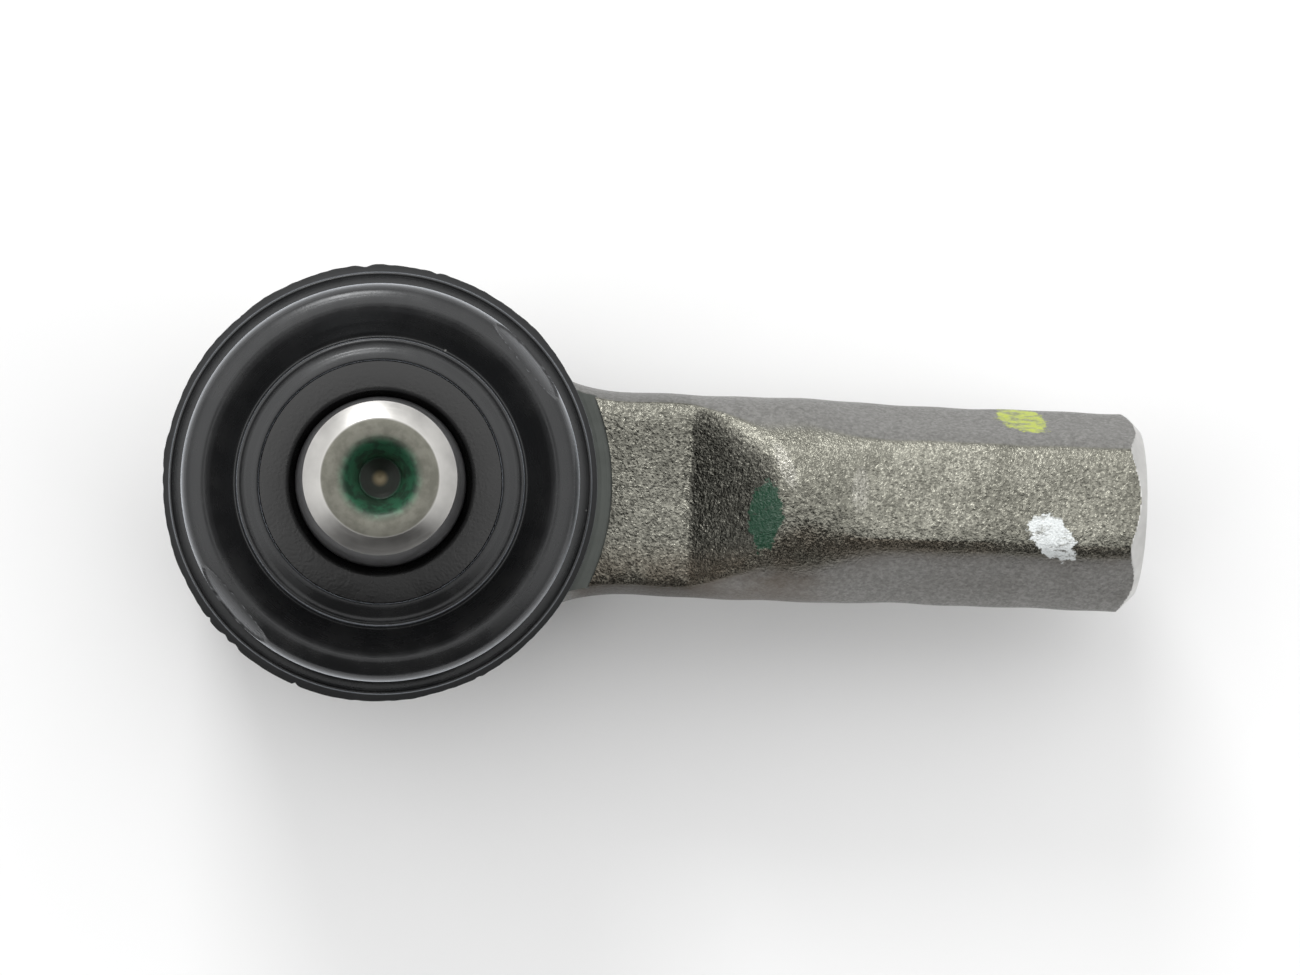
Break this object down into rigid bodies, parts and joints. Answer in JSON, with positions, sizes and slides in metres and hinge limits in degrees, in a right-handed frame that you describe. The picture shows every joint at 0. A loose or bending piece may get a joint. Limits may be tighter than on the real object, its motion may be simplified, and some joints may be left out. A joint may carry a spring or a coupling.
{
  "type": "tie rod end",
  "caption": "Outer tie rod end: forged housing with an internally threaded hexagon shank, and a tapered ball stud under a round rubber dust boot.",
  "frame": {"origin": "on the stud's axis, at the flat underside of the head that the part stands on; the ball centre is 17.5 mm above it", "axes": "+Z along the stud towards its tip, +X along the shank towards its threaded end, +Y completes the right-handed frame"},
  "size_m": [0.1008, 0.044, 0.0785],
  "materials": {
    "forged_steel": "shot-blasted forging",
    "machined_steel": "turned",
    "plated_steel": "zinc plated, dull",
    "spring_steel": "oiled",
    "bearing_plastic": "natural acetal",
    "slide_ring_plastic": "matte",
    "boot_rubber": "satin black rubber"
  },
  "bodies": {
    "housing": {"housing": "forged_steel", "end_cover": "plated_steel", "preload_spring": "spring_steel", "lower_bearing_seat": "bearing_plastic", "upper_bearing_seat": "bearing_plastic", "boot_base_ring": "plated_steel"},
    "boot": {"dust_boot": "boot_rubber"},
    "lip": {"upper_clamp_ring": "spring_steel", "lip_slide_ring": "slide_ring_plastic"},
    "stud": {"ball_stud": "machined_steel"}
  },
  "joints": [
    {"name": "stud_tilt_along_shank", "type": "hinge", "parent": "housing", "child": "boot", "pos_m": [0, 0, 0.0175], "axis": [0, 1, 0], "range_deg": [-16, 16], "deforming": ["dust_boot"]},
    {"name": "stud_tilt_across_shank", "type": "hinge", "parent": "boot", "child": "lip", "pos_m": [0, 0, 0.0175], "axis": [1, 0, 0], "range_deg": [-16, 16], "deforming": ["dust_boot"]},
    {"name": "stud_turn", "type": "hinge", "parent": "lip", "child": "stud", "pos_m": [0, 0, 0.0175], "axis": [0, 0, 1], "continuous": true}
  ]
}
